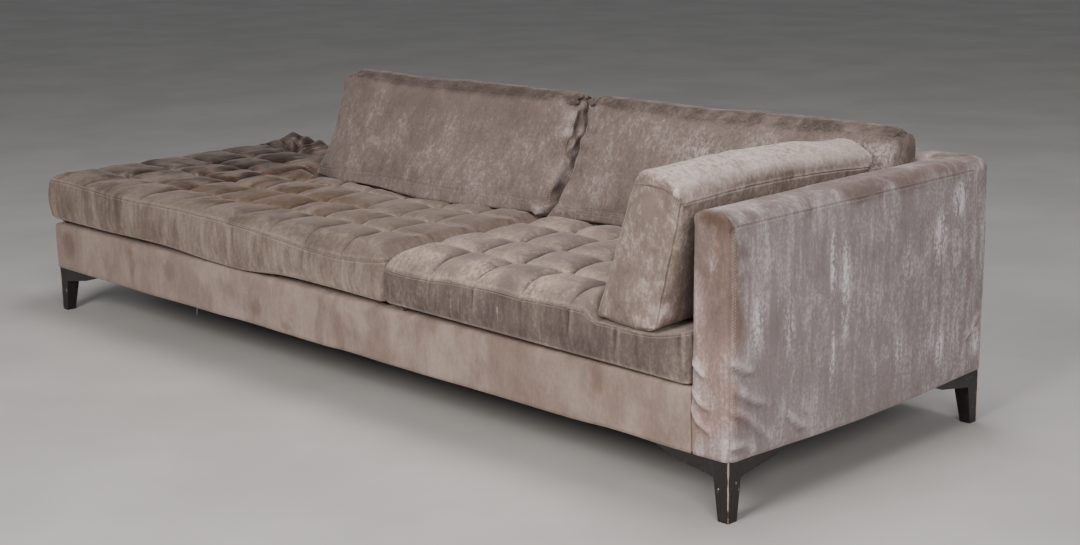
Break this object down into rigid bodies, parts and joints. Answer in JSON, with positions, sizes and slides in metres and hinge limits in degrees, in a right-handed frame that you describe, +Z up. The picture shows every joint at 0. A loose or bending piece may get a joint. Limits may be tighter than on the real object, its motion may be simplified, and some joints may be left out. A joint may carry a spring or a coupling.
{
  "type": "tufted velvet chaise sofa",
  "caption": "Long low chaise sofa with one arm, tufted seat cushions, loose back cushions and an arm cushion, on mitred black corner legs; worn velvet cover.",
  "frame": {"origin": "on the floor, under the middle of the whole sofa", "axes": "+X along the sofa towards its arm, +Y from the front edge to the back, +Z up"},
  "size_m": [2.83, 0.99, 0.756],
  "materials": {
    "crushed_velvet": "crushed pile, worn and faintly stained",
    "black_lacquered_wood": "satin lacquer, chipped and worn through at the edges",
    "frame_timber": "sawn softwood",
    "hardboard": "smooth face",
    "foam": "open-cell foam, aged",
    "webbing": "woven elastic",
    "lining_cloth": "thin black spun cloth",
    "screw_steel": "zinc plated"
  },
  "bodies": {
    "root": {"leg_front_left_post": "black_lacquered_wood", "leg_front_left_long_wing": "black_lacquered_wood", "leg_front_left_side_wing": "black_lacquered_wood", "leg_front_left_long_screw": "screw_steel", "leg_front_left_side_screw": "screw_steel", "leg_front_right_post": "black_lacquered_wood", "leg_front_right_long_wing": "black_lacquered_wood", "leg_front_right_side_wing": "black_lacquered_wood", "leg_front_right_long_screw": "screw_steel", "leg_front_right_side_screw": "screw_steel", "leg_back_left_post": "black_lacquered_wood", "leg_back_left_long_wing": "black_lacquered_wood", "leg_back_left_side_wing": "black_lacquered_wood", "leg_back_left_long_screw": "screw_steel", "leg_back_left_side_screw": "screw_steel", "leg_back_right_post": "black_lacquered_wood", "leg_back_right_long_wing": "black_lacquered_wood", "leg_back_right_side_wing": "black_lacquered_wood", "leg_back_right_long_screw": "screw_steel", "leg_back_right_side_screw": "screw_steel", "front_rail": "frame_timber", "back_rail": "frame_timber", "left_rail": "frame_timber", "right_rail": "frame_timber", "cross_rail_1": "frame_timber", "cross_rail_2": "frame_timber", "cross_rail_3": "frame_timber", "corner_block_front_left": "frame_timber", "corner_block_back_left": "frame_timber", "corner_block_front_right": "frame_timber", "corner_block_back_right": "frame_timber", "arm_front_post": "frame_timber", "arm_back_post": "frame_timber", "arm_top_rail": "frame_timber", "back_left_post": "frame_timber", "back_middle_post": "frame_timber", "back_top_rail": "frame_timber", "middle_foot": "black_lacquered_wood", "arm_outer_board": "hardboard", "arm_inner_board": "hardboard", "back_outer_board": "hardboard", "back_inner_board": "hardboard", "seat_webbing": "webbing", "deck_lining": "lining_cloth", "dust_cover": "lining_cloth", "arm_foam": "foam", "back_foam": "foam", "base_foam_front": "foam", "base_foam_left": "foam", "base_foam_back": "foam", "arm_cover": "crushed_velvet", "back_cover": "crushed_velvet", "base_cover_front": "crushed_velvet", "base_cover_left": "crushed_velvet", "base_cover_back": "crushed_velvet", "seat_cushion_left": "crushed_velvet", "seat_cushion_right": "crushed_velvet", "back_cushion_left": "crushed_velvet", "back_cushion_right": "crushed_velvet", "arm_cushion": "crushed_velvet"}
  },
  "joints": []
}
